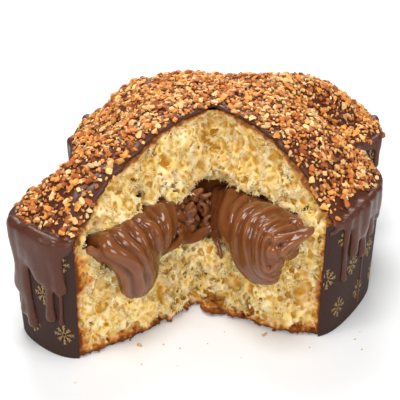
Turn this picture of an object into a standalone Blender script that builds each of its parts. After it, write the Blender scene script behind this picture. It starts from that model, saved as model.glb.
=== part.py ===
"""A dove-shaped Easter bread in its paper case, with one quarter broken out.

The long axis of the dove is X, with the head lobe at -X and the tail lobe at +X; the wings lie
along Y. The origin is the centre of the base, on the surface that the bread stands on. All sizes
are in metres.
"""

import math
import random

import bmesh
import bpy
import numpy as np
from mathutils import Matrix, Vector, noise

# Plan outline at the rim of the case: one half of the dove, mirrored about the X axis.
HALF_OUTLINE = [
    (-0.133, 0.0), (-0.126, 0.025), (-0.098, 0.039), (-0.072, 0.048), (-0.056, 0.063),
    (-0.042, 0.080), (-0.021, 0.098), (-0.002, 0.104), (0.032, 0.096), (0.055, 0.084),
    (0.069, 0.063), (0.076, 0.045), (0.099, 0.047), (0.119, 0.030), (0.133, 0.0),
]
AROUND = 76

# Heights
RIM_HEIGHT = 0.070
APEX_HEIGHT = 0.110
GLAZE_THICKNESS = 0.0025
GLAZE_RISE = 0.003
GAP = 0.0003

# Paper case
PAPER_THICKNESS = 0.0008
WALL_FLARE = 0.003
CASE_MARGIN = 0.0012

# Dome of the bread: height falls off from the apex as (1 - s ** DOME_POWER) ** DOME_ROUND
DOME_POWER = 2.4
DOME_ROUND = 0.92
DOME_RINGS = [0.96, 0.84, 0.64, 0.34]

# Cream layer: a lens inside the bread, thick in the middle and closed near the crust
CREAM_TOP = 0.0695
CREAM_DEPTH = 0.030
CREAM_EDGE_DROP = 0.0035
CREAM_ROUND = 5
CREAM_INNER_SHARE = 0.45
CREAM_FADE = 0.030
CREAM_REACH = 0.92
CREAM_RINGS = [0.985, 0.93, 0.80, 0.55]
CREAM_AROUND = 40
CREAM_CLEARANCE = 0.0005
CREAM_FRONT = (0.020, 0.090)
CREAM_FRONT_INSET = 0.006

# Lines of the broken quarter, seen from above: along the head, round the corner, along the wing
LOWER_LINE = [
    (-0.150, -0.0245), (-0.116, -0.0255), (-0.091, -0.0300), (-0.063, -0.0285),
    (-0.039, -0.0265), (-0.0335, -0.0320), (-0.0300, -0.0556), (-0.0265, -0.0760),
    (-0.0177, -0.0900), (-0.0118, -0.1014), (-0.0100, -0.1250),
]
UPPER_LINE = [
    (-0.150, -0.0280), (-0.122, -0.0278), (-0.090, -0.0250), (-0.058, -0.0200),
    (-0.039, -0.0160), (-0.0175, -0.0092), (-0.0078, -0.0100), (-0.0070, -0.0264),
    (-0.0066, -0.0530), (-0.0072, -0.0750), (-0.0093, -0.0910), (-0.0102, -0.1030),
    (-0.0095, -0.1250),
]
FAR_CORNER = (-0.150, -0.125)
LINE_POINTS = 38
LOWER_TOP = 0.0690
UPPER_BOTTOM = 0.0672
CUTTER_TOP = 0.130
CUTTER_BOTTOM = -0.010
CRUMB_STEP = 0.0062
CRUMB_RELIEF = 0.0032
CRUMB_SCALE = 75.0

# Ropes of cream that spill out of the two broken faces: points (x, y, z) in millimetres, radius
CREAM_ROPES = [
    ([(-112, -24, 64), (-107, -32, 62), (-104, -36, 57), (-99, -39, 48), (-95, -39, 42)], 5.5),
    ([(-97, -20, 62), (-98, -31, 61), (-98, -38, 57), (-96, -41, 48), (-94, -41, 41)], 7.0),
    ([(-85, -18, 61), (-87, -30, 61), (-89, -37, 56), (-90, -39, 48), (-91, -40, 42)], 7.5),
    ([(-72, -16, 61), (-73, -28, 61), (-73, -34, 57), (-76, -35, 52), (-82, -36, 47)], 8.0),
    ([(-57, -14, 60), (-58, -26, 60), (-58, -31, 55), (-61, -31, 50)], 8.0),
    ([(-42, -12, 58), (-43, -23, 58), (-46, -27, 52), (-55, -29, 48)], 7.0),
    ([(-28, -14, 57), (-28, -22, 54), (-33, -24, 48)], 5.0),
    ([(-8, -28, 60), (-25, -48, 60), (-34, -58, 56), (-38, -65, 50), (-40, -73, 46)], 8.5),
    ([(-8, -46, 60), (-28, -61, 61), (-36, -67, 57), (-41, -75, 51), (-43, -81, 47)], 8.5),
    ([(-8, -64, 61), (-28, -71, 61), (-36, -76, 57), (-42, -81, 52), (-42, -84, 47)], 8.0),
    ([(-8, -76, 61), (-26, -80, 60), (-34, -83, 56), (-40, -85, 52)], 7.0),
    ([(-10, -90, 63), (-20, -88, 61), (-28, -86, 57), (-33, -85, 54)], 5.0),
    ([(-8, -22, 57), (-22, -35, 55), (-27, -42, 50), (-31, -52, 47)], 6.5),
]
ROPE_POINTS = 12
ROPE_TAPER = 0.3
ROPE_VOXEL = 0.0034
ROPE_SMOOTHING = 4
ROPE_FACES_KEPT = 0.34

# Glaze: its skirt hangs over the rim of the case, with runs further down the wall
SKIRT_LENGTH = 0.0085
SKIRT_THICKNESS = 0.0020
# Waves of the skirt's edge: number round the dove, phase, height
SKIRT_WAVES = [(5.0, 0.6, 0.0025), (11.0, 2.0, 0.0015)]
# Rings of the rounded shoulder: distance outside the rim, height above the edge of the dome
SHOULDER_RINGS = [(0.0010, 0.0008), (0.0021, -0.0022)]
# Runs of glaze: bearing in degrees, height of the lower tip, half width
GLAZE_RUNS = [
    (175.5, 0.020, 0.0040), (178.8, 0.012, 0.0032), (183.5, 0.047, 0.0070),
    (186.8, 0.022, 0.0034), (188.8, 0.021, 0.0014), (271.5, 0.031, 0.0017),
    (276.0, 0.044, 0.0032), (282.5, 0.038, 0.0027), (289.5, 0.046, 0.0035),
    (330.5, 0.054, 0.0024), (334.0, 0.052, 0.0022), (12.0, 0.036, 0.0030),
    (84.0, 0.028, 0.0031), (96.0, 0.045, 0.0027), (152.0, 0.040, 0.0029),
]
RUN_THICKNESS = 0.0024
RUN_TOP = 0.068
RUN_SHOULDER_WIDTH = 1.6
RUN_DROP_LENGTH = 1.2

# Chopped nuts on the glaze
NUT_SPACING = 0.0142
NUT_REACH = 0.95
NUT_EDGE_MARGIN = 0.0045
NUT_SIZES = (0.0030, 0.0023, 0.0016)
NUT_FIELD = 0.13
NUT_JITTER = 0.3
NUT_SINK = 0.0002
SEED = 7


def smooth_line(points, count, closed=False):
    """Points at even steps along a Catmull-Rom curve through the given points."""
    control = [Vector(point) for point in points]
    last = len(control)
    spans = last if closed else last - 1
    fine = []
    for index in range(spans):
        if closed:
            before, start, end, after = [control[(index + step) % last] for step in (-1, 0, 1, 2)]
        else:
            start, end = control[index], control[index + 1]
            before = control[max(index - 1, 0)]
            after = control[min(index + 2, last - 1)]
        for step in range(24):
            t = step / 24.0
            fine.append(0.5 * (2.0 * start + (end - before) * t
                               + (2.0 * before - 5.0 * start + 4.0 * end - after) * t ** 2
                               + (3.0 * start - before - 3.0 * end + after) * t ** 3))
    fine.append(control[0] if closed else control[-1])
    lengths = [0.0]
    for first, second in zip(fine, fine[1:]):
        lengths.append(lengths[-1] + (second - first).length)
    steps = count if closed else count - 1
    targets = [lengths[-1] * index / steps for index in range(count)]
    columns = [np.interp(targets, lengths, [point[axis] for point in fine])
               for axis in range(len(control[0]))]
    return [Vector(values) for values in zip(*columns)]


def full_outline():
    """The closed outline of the rim, counterclockwise from the tip of the head."""
    lower_half = [(x, -y) for x, y in HALF_OUTLINE]
    upper_half = list(reversed(HALF_OUTLINE[1:-1]))
    return smooth_line(lower_half + upper_half, AROUND, closed=True)


OUTLINE = full_outline()


def inset_outline(distance, outline=None):
    """The outline moved inwards by a distance, square to its edges."""
    points = outline or OUTLINE
    moved = []
    for index, point in enumerate(points):
        along = points[(index + 1) % len(points)] - points[index - 1]
        inwards = Vector((-along.y, along.x)).normalized()
        moved.append(point + inwards * distance)
    return moved


def wall_inset(height):
    """How far the flared wall lies inside the rim outline at a height."""
    return WALL_FLARE * (1.0 - height / RIM_HEIGHT)


def rim_radius(bearing):
    """Distance from the origin to the rim along a bearing in radians."""
    bearings = [math.atan2(point.y, point.x) for point in OUTLINE]
    order = np.argsort(bearings)
    sorted_bearings = np.array(bearings)[order]
    radii = np.array([point.length for point in OUTLINE])[order]
    return float(np.interp(bearing, sorted_bearings, radii, period=2.0 * math.pi))


def dome_height(share, rim, apex):
    """Height of a dome at a share of the way from the centre (0) to the rim (1)."""
    return rim + (apex - rim) * max(1.0 - share ** DOME_POWER, 0.0) ** DOME_ROUND


def collection_named(name):
    collection = bpy.data.collections.new(name)
    bpy.context.scene.collection.children.link(collection)
    return collection


def object_from_bmesh(name, shape, collection):
    bmesh.ops.recalc_face_normals(shape, faces=shape.faces)
    mesh = bpy.data.meshes.new(name)
    shape.to_mesh(mesh)
    shape.free()
    made = bpy.data.objects.new(name, mesh)
    collection.objects.link(made)
    return made


def loft(name, rings, collection, top=None, bottom=None):
    """A closed body through rings of equal count; an end is a point or, when None, a flat face."""
    shape = bmesh.new()
    rows = [[shape.verts.new(point) for point in ring] for ring in rings]
    count = len(rings[0])
    for low, high in zip(rows, rows[1:]):
        for index in range(count):
            following = (index + 1) % count
            shape.faces.new((low[index], low[following], high[following], high[index]))
    for end, row in ((bottom, rows[0]), (top, rows[-1])):
        if end is None:
            shape.faces.new(row)
        else:
            tip = shape.verts.new(end)
            for index in range(count):
                shape.faces.new((row[index], row[(index + 1) % count], tip))
    return object_from_bmesh(name, shape, collection)


def evaluated_mesh(thing):
    graph = bpy.context.evaluated_depsgraph_get()
    return bpy.data.meshes.new_from_object(thing.evaluated_get(graph))


def triangulated(mesh):
    shape = bmesh.new()
    shape.from_mesh(mesh)
    bmesh.ops.triangulate(shape, faces=shape.faces)
    shape.to_mesh(mesh)
    closed = all(len(edge.link_faces) == 2 for edge in shape.edges)
    shape.free()
    return mesh, closed


def swap_mesh(thing, mesh):
    thing.modifiers.clear()
    old = thing.data
    thing.data = mesh
    bpy.data.meshes.remove(old)


def freeze(thing):
    """Apply the modifiers of an object to its mesh."""
    swap_mesh(thing, evaluated_mesh(thing))


def combine(thing, operation, other=None, group=None):
    """Boolean of an object with another object or a whole collection, applied.

    The exact solver comes first; where it leaves an open edge, the manifold one takes over.
    """
    modifier = thing.modifiers.new(operation.title(), "BOOLEAN")
    modifier.operation = operation
    if group is None:
        modifier.object = other
    else:
        modifier.operand_type = "COLLECTION"
        modifier.collection = group
    for solver in ("EXACT", "MANIFOLD"):
        modifier.solver = solver
        mesh, closed = triangulated(evaluated_mesh(thing))
        if closed and len(mesh.polygons):
            break
    swap_mesh(thing, mesh)


def remove_group(group):
    for thing in list(group.objects):
        bpy.data.objects.remove(thing)
    bpy.data.collections.remove(group)


def mark_as_cutter(thing):
    thing.hide_render = True
    thing.display_type = "WIRE"


def material(name, colour, roughness, metallic=0.0):
    made = bpy.data.materials.new(name)
    made.use_nodes = True
    shader = made.node_tree.nodes["Principled BSDF"]
    shader.inputs["Base Color"].default_value = (*colour, 1.0)
    shader.inputs["Roughness"].default_value = roughness
    shader.inputs["Metallic"].default_value = metallic
    return made


def finish_part(thing, finish, smooth_degrees=40.0):
    """Face the mesh outwards, give it its material and shade its round areas smooth."""
    shape = bmesh.new()
    shape.from_mesh(thing.data)
    bmesh.ops.recalc_face_normals(shape, faces=shape.faces)
    shape.to_mesh(thing.data)
    shape.free()
    thing.data.materials.clear()
    thing.data.materials.append(finish)
    thing.data.shade_smooth()
    thing.data.set_sharp_from_angle(angle=math.radians(smooth_degrees))


def keep_largest_body(thing):
    """Drop the loose scraps that a Boolean can leave beside the main body."""
    shape = bmesh.new()
    shape.from_mesh(thing.data)
    unseen = set(shape.verts)
    bodies = []
    while unseen:
        front = [unseen.pop()]
        body = set(front)
        while front:
            for edge in front.pop().link_edges:
                for vertex in edge.verts:
                    if vertex in unseen:
                        unseen.discard(vertex)
                        body.add(vertex)
                        front.append(vertex)
        bodies.append(body)
    largest = max(bodies, key=len)
    scraps = [vertex for vertex in shape.verts if vertex not in largest]
    bmesh.ops.delete(shape, geom=scraps, context="VERTS")
    shape.to_mesh(thing.data)
    shape.free()


def quarter_cutter(name, line, bottom, top, collection, outwards=0.0, relief=CRUMB_RELIEF):
    """The broken-out quarter between two heights, with a rough, crumbly face along its line."""
    path = smooth_line(line, LINE_POINTS)
    rows = max(int(round((top - bottom) / CRUMB_STEP)), 1) if relief else 1
    rings = []
    for row in range(rows + 1):
        height = bottom + (top - bottom) * row / rows
        ring = []
        for index, point in enumerate(path):
            along = path[min(index + 1, LINE_POINTS - 1)] - path[max(index - 1, 0)]
            removed_side = Vector((along.y, -along.x)).normalized()
            place = Vector((point.x, point.y, height))
            rough = noise.fractal(place * CRUMB_SCALE, 1.0, 2.0, 3) * relief
            moved = point + removed_side * (rough + outwards)
            ring.append((moved.x, moved.y, height))
        ring.append((*FAR_CORNER, height))
        rings.append(ring)
    cutter = loft(name, rings, collection)
    mark_as_cutter(cutter)
    return cutter


def cream_depth(plan):
    """Depth of the cream layer: full at the break, thinner deeper inside the bread."""
    behind = 0.0 if in_quarter(plan) else cut_distance(plan)
    fade = math.exp(-(behind / CREAM_FADE) ** 2)
    return CREAM_DEPTH * (CREAM_INNER_SHARE + (1.0 - CREAM_INNER_SHARE) * fade)


def cream_lens(name, clearance, collection):
    """The lens of cream inside the bread, smaller by a clearance all round."""
    outline = smooth_line([tuple(point) for point in OUTLINE], CREAM_AROUND, closed=True)
    edge = inset_outline(clearance, [point * CREAM_REACH for point in outline])
    edge_height = CREAM_TOP - CREAM_EDGE_DROP
    upper, lower = [], []
    for share in CREAM_RINGS:
        swell = (1.0 - share ** CREAM_ROUND) ** 0.5
        upper_height = edge_height + (CREAM_TOP - edge_height) * swell - clearance
        upper.append([(point.x * share, point.y * share, upper_height) for point in edge])
        ring = []
        for point in edge:
            depth = cream_depth(point * share) - (CREAM_TOP - edge_height)
            ring.append((point.x * share, point.y * share, edge_height - depth * swell + clearance))
        lower.append(ring)
    rim = [(point.x, point.y, edge_height) for point in edge]
    rings = list(reversed(lower)) + [rim] + upper
    top = (0.0, 0.0, CREAM_TOP - clearance)
    bottom = (0.0, 0.0, CREAM_TOP - cream_depth(Vector((0.0, 0.0))) + clearance)
    lens = loft(name, rings, collection, top=top, bottom=bottom)
    mark_as_cutter(lens)
    return lens


def dome_rings(base_outline, rim, apex):
    rings = []
    for share in DOME_RINGS:
        height = dome_height(share, rim, apex)
        rings.append([(point.x * share, point.y * share, height) for point in base_outline])
    return rings


def wall_ring(height, inset):
    outline = inset_outline(wall_inset(height) + inset)
    return [(point.x, point.y, height) for point in outline]


def build_paper_case(parts, cutters):
    """A paper case with a flat bottom, open along the broken quarter."""
    outside = [wall_ring(0.0, 0.0), wall_ring(RIM_HEIGHT, 0.0)]
    case = loft("paper_case", outside, parts)
    room_bottom = PAPER_THICKNESS
    room_top = RIM_HEIGHT + PAPER_THICKNESS
    inside = [wall_ring(room_bottom, PAPER_THICKNESS), wall_ring(room_top, PAPER_THICKNESS)]
    room = loft("case_room", inside, cutters)
    mark_as_cutter(room)
    combine(case, "DIFFERENCE", room)
    opening = quarter_cutter("case_opening", LOWER_LINE, CUTTER_BOTTOM, CUTTER_TOP, cutters,
                             outwards=-CASE_MARGIN, relief=0.0)
    combine(case, "DIFFERENCE", opening)
    finish_part(case, material("dark_brown_paper", (0.045, 0.026, 0.021), 0.62))
    return case


def build_bread(parts, cutters, lower_cut, upper_cut):
    """The yellow crumb: domed, hollowed for the cream and torn open at the quarter."""
    inset = PAPER_THICKNESS + GAP
    floor = PAPER_THICKNESS + GAP
    crown = APEX_HEIGHT - GLAZE_THICKNESS - GAP
    sides = [wall_ring(floor, inset), wall_ring(RIM_HEIGHT, inset)]
    domed = dome_rings(OUTLINE, RIM_HEIGHT, crown)
    bread = loft("bread", sides + domed, parts, top=(0.0, 0.0, crown))
    pocket = cream_lens("cream_pocket", 0.0, cutters)
    for cutter in (pocket, lower_cut, upper_cut):
        combine(bread, "DIFFERENCE", cutter)
    keep_largest_body(bread)
    finish_part(bread, material("yellow_crumb", (0.83, 0.62, 0.24), 0.85))
    return bread


def rope(points, radius, collection):
    """A tube of cream through points in millimetres, thinner towards its lower end."""
    curve = bpy.data.curves.new("cream_rope", "CURVE")
    curve.dimensions = "3D"
    curve.bevel_depth = radius * 0.001
    curve.bevel_resolution = 3
    curve.use_fill_caps = True
    path = smooth_line([tuple(0.001 * value for value in point) for point in points], ROPE_POINTS)
    spline = curve.splines.new("POLY")
    spline.points.add(len(path) - 1)
    for index, point in enumerate(path):
        spline.points[index].co = (*point, 1.0)
        spline.points[index].radius = 1.0 - ROPE_TAPER * index / (len(path) - 1)
    guide = bpy.data.objects.new("cream_rope", curve)
    collection.objects.link(guide)
    return guide


def build_cream_spill(collection):
    """The ropes of cream melted together into one soft body."""
    shape = bmesh.new()
    for points, radius in CREAM_ROPES:
        guide = rope(points, radius, collection)
        tube = evaluated_mesh(guide)
        shape.from_mesh(tube)
        bpy.data.objects.remove(guide)
    bmesh.ops.remove_doubles(shape, verts=shape.verts, dist=0.00001)
    spill = object_from_bmesh("cream_spill", shape, collection)
    remesh = spill.modifiers.new("Melt", "REMESH")
    remesh.mode = "VOXEL"
    remesh.voxel_size = ROPE_VOXEL
    soften = spill.modifiers.new("Soften", "SMOOTH")
    soften.iterations = ROPE_SMOOTHING
    soften.factor = 0.5
    thin = spill.modifiers.new("Thin", "DECIMATE")
    thin.ratio = ROPE_FACES_KEPT
    freeze(spill)
    mark_as_cutter(spill)
    return spill


def build_cream(parts, cutters):
    """Hazelnut cream: the layer that runs through the bread and the ropes that spill out."""
    cream = cream_lens("cream_filling", CREAM_CLEARANCE, parts)
    cream.hide_render = False
    cream.display_type = "TEXTURED"
    front = quarter_cutter("cream_front", UPPER_LINE, *CREAM_FRONT, cutters,
                           outwards=CREAM_FRONT_INSET, relief=0.0)
    combine(cream, "DIFFERENCE", front)
    spill = build_cream_spill(cutters)
    combine(cream, "UNION", spill)
    room = cream_lens("cream_room", CREAM_CLEARANCE, cutters)
    lower_room = quarter_cutter("lower_room", LOWER_LINE, CUTTER_BOTTOM, LOWER_TOP - GAP, cutters,
                                outwards=CREAM_CLEARANCE)
    upper_room = quarter_cutter("upper_room", UPPER_LINE, UPPER_BOTTOM + GAP, CUTTER_TOP, cutters,
                                outwards=CREAM_CLEARANCE)
    combine(room, "UNION", lower_room)
    combine(room, "UNION", upper_room)
    combine(cream, "INTERSECT", room)
    keep_largest_body(cream)
    finish_part(cream, material("hazelnut_cream", (0.23, 0.095, 0.045), 0.28), 60.0)
    return cream


def skirt_drop(bearing):
    """How far the glaze hangs over the rim at a bearing, in long uneven waves."""
    waves = [height * math.sin(count * bearing + phase) for count, phase, height in SKIRT_WAVES]
    return SKIRT_LENGTH + sum(waves)


def build_glaze_run(bearing, tip_height, half_width, collection):
    """One run of glaze down the wall: a long drop, flattened against the paper."""
    radius = rim_radius(bearing)
    step = 0.01
    before = Vector((math.cos(bearing - step), math.sin(bearing - step)))
    after = Vector((math.cos(bearing + step), math.sin(bearing + step)))
    along = after * rim_radius(bearing + step) - before * rim_radius(bearing - step)
    along.normalize()
    outwards = Vector((along.y, -along.x))
    shape = bmesh.new()
    bmesh.ops.create_uvsphere(shape, u_segments=8, v_segments=5, radius=1.0)
    for vertex in shape.verts:
        across, depth, up = vertex.co
        if up > 0.3:
            height = RUN_TOP
            across *= RUN_SHOULDER_WIDTH
        else:
            height = tip_height + (1.0 + up) * half_width * RUN_DROP_LENGTH
        centre = Vector((math.cos(bearing), math.sin(bearing))) * radius
        centre = centre - outwards * wall_inset(height)
        place = centre + along * (across * half_width) + outwards * (depth * RUN_THICKNESS)
        vertex.co = (place.x, place.y, height)
    bmesh.ops.remove_doubles(shape, verts=shape.verts, dist=0.00005)
    return object_from_bmesh("glaze_run", shape, collection)


def cut_distance(point):
    """Least distance in plan from a point to the upper line of the broken quarter."""
    path = smooth_line(UPPER_LINE, LINE_POINTS)
    return min((point - step).length for step in path)


def in_quarter(point):
    """Whether a plan point lies in the part that was broken out."""
    path = smooth_line(UPPER_LINE, LINE_POINTS)
    nearest = min(range(len(path)), key=lambda index: (path[index] - point).length)
    along = path[min(nearest + 1, len(path) - 1)] - path[max(nearest - 1, 0)]
    removed_side = Vector((along.y, -along.x))
    return removed_side.dot(point - path[nearest]) > 0.0


def build_nut(place, normal, draw, collection):
    """A chopped piece of nut: a small uneven lump, lying flat on the glaze."""
    shape = bmesh.new()
    bmesh.ops.create_icosphere(shape, subdivisions=1, radius=1.0)
    size = draw.uniform(0.75, 1.15)
    for vertex in shape.verts:
        uneven = draw.uniform(0.82, 1.15)
        vertex.co = Vector([vertex.co[axis] * NUT_SIZES[axis] * uneven * size for axis in range(3)])
    turn = Matrix.Rotation(draw.uniform(0.0, 2.0 * math.pi), 3, "Z")
    tilt = normal.to_track_quat("Z", "Y").to_matrix()
    for vertex in shape.verts:
        vertex.co = place + tilt @ (turn @ vertex.co)
    return object_from_bmesh("nut", shape, collection)


def scatter_nuts(collection):
    """Nuts on an even, jittered grid over the dome, clear of its rim and of the break."""
    draw = random.Random(SEED)
    steps = int(2.0 * NUT_FIELD / NUT_SPACING)
    for row in range(steps + 1):
        for column in range(steps + 1):
            stagger = 0.5 * (row % 2)
            across = column + stagger + draw.uniform(-NUT_JITTER, NUT_JITTER)
            x = -NUT_FIELD + across * NUT_SPACING
            y = -NUT_FIELD + (row + draw.uniform(-NUT_JITTER, NUT_JITTER)) * NUT_SPACING
            plan = Vector((x, y))
            share = plan.length / rim_radius(math.atan2(y, x))
            if share > NUT_REACH or in_quarter(plan) or cut_distance(plan) < NUT_EDGE_MARGIN:
                continue
            height = glaze_height(plan)
            small = 0.001
            slope_x = (glaze_height(plan + Vector((small, 0.0))) - height) / small
            slope_y = (glaze_height(plan + Vector((0.0, small))) - height) / small
            normal = Vector((-slope_x, -slope_y, 1.0)).normalized()
            place = Vector((x, y, height)) + normal * NUT_SINK
            build_nut(place, normal, draw, collection)


def glaze_height(plan):
    """Height of the faceted top of the glaze at a plan point, between its rings."""
    share = min(plan.length / rim_radius(math.atan2(plan.y, plan.x)), 1.0)
    shares = [0.0] + sorted(DOME_RINGS) + [1.0]
    heights = [dome_height(step, RIM_HEIGHT + GLAZE_RISE, APEX_HEIGHT) for step in shares]
    return float(np.interp(share, shares, heights))


def build_glaze(parts, cutters, upper_cut):
    """Dark glaze over the dome and the rim, with runs down the wall and chopped nuts on top."""
    skirt_edge = []
    for point in inset_outline(wall_inset(RIM_HEIGHT - SKIRT_LENGTH) - SKIRT_THICKNESS - GAP):
        drop = skirt_drop(math.atan2(point.y, point.x))
        skirt_edge.append((point.x, point.y, RIM_HEIGHT - drop))
    shoulder = []
    for outwards, above in reversed(SHOULDER_RINGS):
        outline = inset_outline(-outwards)
        height = RIM_HEIGHT + GLAZE_RISE + above
        shoulder.append([(point.x, point.y, height) for point in outline])
    domed = dome_rings(OUTLINE, RIM_HEIGHT + GLAZE_RISE, APEX_HEIGHT)
    rings = [skirt_edge, shoulder[0], shoulder[1]] + domed
    glaze = loft("glaze", rings, parts, top=(0.0, 0.0, APEX_HEIGHT), bottom=(0.0, 0.0, RIM_HEIGHT))
    runs = collection_named("glaze_runs")
    for degrees, tip_height, half_width in GLAZE_RUNS:
        build_glaze_run(math.radians(degrees), tip_height, half_width, runs)
    combine(glaze, "UNION", group=runs)
    remove_group(runs)

    core_apex = APEX_HEIGHT - GLAZE_THICKNESS
    below = [wall_ring(CUTTER_BOTTOM, -GAP), wall_ring(RIM_HEIGHT + GAP, -GAP)]
    core = loft("glaze_core", below + dome_rings(OUTLINE, RIM_HEIGHT + GAP, core_apex), cutters,
                top=(0.0, 0.0, core_apex))
    mark_as_cutter(core)
    combine(glaze, "DIFFERENCE", core)
    lower_edge = quarter_cutter("glaze_lower_edge", LOWER_LINE, CUTTER_BOTTOM, LOWER_TOP, cutters,
                                relief=0.0)
    combine(glaze, "DIFFERENCE", lower_edge)
    combine(glaze, "DIFFERENCE", upper_cut)
    keep_largest_body(glaze)

    nuts = collection_named("nuts")
    scatter_nuts(nuts)
    combine(glaze, "UNION", group=nuts)
    remove_group(nuts)
    keep_largest_body(glaze)
    finish_part(glaze, material("dark_glaze", (0.105, 0.042, 0.024), 0.30))
    return glaze


def clear_scene():
    for thing in list(bpy.data.objects):
        bpy.data.objects.remove(thing)


def build_colomba():
    clear_scene()
    parts = collection_named("colomba_easter_bread")
    cutters = collection_named("cutters")
    lower_cut = quarter_cutter("lower_break", LOWER_LINE, CUTTER_BOTTOM, LOWER_TOP, cutters)
    upper_cut = quarter_cutter("upper_break", UPPER_LINE, UPPER_BOTTOM, CUTTER_TOP, cutters)
    build_paper_case(parts, cutters)
    build_bread(parts, cutters, lower_cut, upper_cut)
    build_cream(parts, cutters)
    build_glaze(parts, cutters, upper_cut)


build_colomba()
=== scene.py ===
"""Looks of a dove-shaped Easter bread: torn crumb, hazelnut cream, glaze with nuts, paper case.

Forms are sculpted as fields of signed distance in millimetres, negative inside, and meshed as
surface nets. Lengths along the wall run from the tip of the head, counterclockwise from above.
"""

import itertools
import math

import bmesh
import bpy
import numpy as np
from mathutils import Euler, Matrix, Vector


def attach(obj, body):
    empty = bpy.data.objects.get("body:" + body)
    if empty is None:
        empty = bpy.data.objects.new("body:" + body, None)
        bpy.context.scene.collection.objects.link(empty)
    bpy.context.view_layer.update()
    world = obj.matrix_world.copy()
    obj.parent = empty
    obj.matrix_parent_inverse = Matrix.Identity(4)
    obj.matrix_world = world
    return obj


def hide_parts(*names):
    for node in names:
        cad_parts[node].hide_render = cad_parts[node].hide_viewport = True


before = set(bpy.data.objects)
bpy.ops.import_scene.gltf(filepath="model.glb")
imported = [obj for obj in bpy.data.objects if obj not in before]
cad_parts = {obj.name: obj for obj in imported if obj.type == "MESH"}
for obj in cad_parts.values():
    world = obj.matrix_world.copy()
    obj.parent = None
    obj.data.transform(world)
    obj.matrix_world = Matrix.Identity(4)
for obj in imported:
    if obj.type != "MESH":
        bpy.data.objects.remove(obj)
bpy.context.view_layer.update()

MM = 0.001

# Plan outline at the rim of the case, one half, mirrored about the long axis
HALF_OUTLINE = [
    (-133, 0), (-126, 25), (-98, 39), (-72, 48), (-56, 63), (-42, 80), (-21, 98), (-2, 104),
    (32, 96), (55, 84), (69, 63), (76, 45), (99, 47), (119, 30), (133, 0),
]
LOWER_LINE = [
    (-150, -24.5), (-116, -25.5), (-91, -30), (-63, -28.5), (-39, -26.5), (-33.5, -32),
    (-30, -55.6), (-26.5, -76), (-17.7, -90), (-11.8, -101.4), (-10, -125),
]
UPPER_LINE = [
    (-150, -29), (-126, -27), (-113, -22.5), (-98, -17.5), (-78, -14.5), (-58, -13), (-38, -13),
    (-20, -13), (-10.5, -14.5), (-9.5, -33), (-8.8, -48), (-8.4, -63), (-7.8, -77), (-8.6, -91),
    (-10.2, -103), (-9.5, -125),
]
FAR_CORNER = (-150, -125)
RIM = 70.0
APEX = 114.0
FLARE = 3.0
GLAZE_RISE = 3.0
GLAZE_THICKNESS = 2.5
COAT_THICKNESS = 0.9
SKIRT_OVERLAP = 0.5
PAPER_THICKNESS = 0.8
DOME_POWER = 2.4
DOME_ROUND = 0.92
SHOULDER_WIDTH = 28.0
SHOULDER_RISE = 13.0
SHOULDER_POWER = 0.72
WING_FULLNESS = 0.05

# How far the upper broken face leans out at its foot
OVERHANG = 5.5

# Cream layer
CREAM_TOP = 69.5
CREAM_DEPTH = 30.0
CREAM_INNER_SHARE = 0.45
CREAM_FADE = 30.0
CREAM_REACH = 0.92
CREAM_EDGE = 66.0
CREAM_END = -79.0

# Meshing steps
CRUMB_STEP = 0.75
CREAM_STEP = 0.6
GLAZE_STEP = 0.95
COARSE_STEP = 2.6


def curve_points(points, per_span, closed):
    """Points of a Catmull-Rom curve through the given points."""
    control = np.array(points, float)
    ends = (control[-1:], control[:2]) if closed else (control[:1], control[-1:])
    control = np.vstack([ends[0], control, ends[1]])
    t = np.linspace(0.0, 1.0, per_span, endpoint=False)[:, None]
    pieces = []
    for before, start, end, after in zip(control, control[1:], control[2:], control[3:]):
        pieces.append(0.5 * (2 * start + (end - before) * t
                             + (2 * before - 5 * start + 4 * end - after) * t ** 2
                             + (3 * start - before - 3 * end + after) * t ** 3))
    if not closed:
        pieces.append(control[-1:])
    return np.vstack(pieces)


LOWER_HALF = [(x, -y) for x, y in HALF_OUTLINE]
OUTLINE = curve_points(LOWER_HALF + HALF_OUTLINE[-2:0:-1], 9, True)
LOWER_CUT = np.vstack([curve_points(LOWER_LINE, 6, False), [FAR_CORNER]])
UPPER_CUT = np.vstack([curve_points(UPPER_LINE, 6, False), [FAR_CORNER]])


def segment_lengths(polygon):
    return np.linalg.norm(np.roll(polygon, -1, axis=0) - polygon, axis=1)


OUTLINE_STARTS = np.concatenate([[0.0], np.cumsum(segment_lengths(OUTLINE))])
PERIMETER = OUTLINE_STARTS[-1]


def polygon_distance(x, y, polygon):
    """Signed distance in plan, negative inside, and the length along the polygon."""
    nearest = np.full(x.shape, 1e9)
    along = np.zeros(x.shape)
    inside = np.zeros(x.shape, bool)
    start_length = 0.0
    for start, end in zip(polygon, np.roll(polygon, -1, axis=0)):
        step = end - start
        length = math.hypot(*step)
        share = ((x - start[0]) * step[0] + (y - start[1]) * step[1]) / length ** 2
        share = np.clip(share, 0.0, 1.0)
        square = (x - start[0] - share * step[0]) ** 2 + (y - start[1] - share * step[1]) ** 2
        closer = square < nearest
        nearest = np.where(closer, square, nearest)
        along = np.where(closer, start_length + share * length, along)
        if start[1] != end[1]:
            crossing = start[0] + (y - start[1]) * step[0] / step[1]
            inside ^= ((start[1] > y) != (end[1] > y)) & (x < crossing)
        start_length += length
    distance = np.sqrt(nearest)
    return np.where(inside, -distance, distance), along


OUTLINE_BEARINGS = np.arctan2(OUTLINE[:, 1], OUTLINE[:, 0])
BEARING_ORDER = np.argsort(OUTLINE_BEARINGS)
BEARINGS = np.radians(np.arange(-180.0, 180.0))
RIM_RADII = np.interp(BEARINGS, OUTLINE_BEARINGS[BEARING_ORDER],
                      np.hypot(OUTLINE[:, 0], OUTLINE[:, 1])[BEARING_ORDER], period=2 * math.pi)


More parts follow.
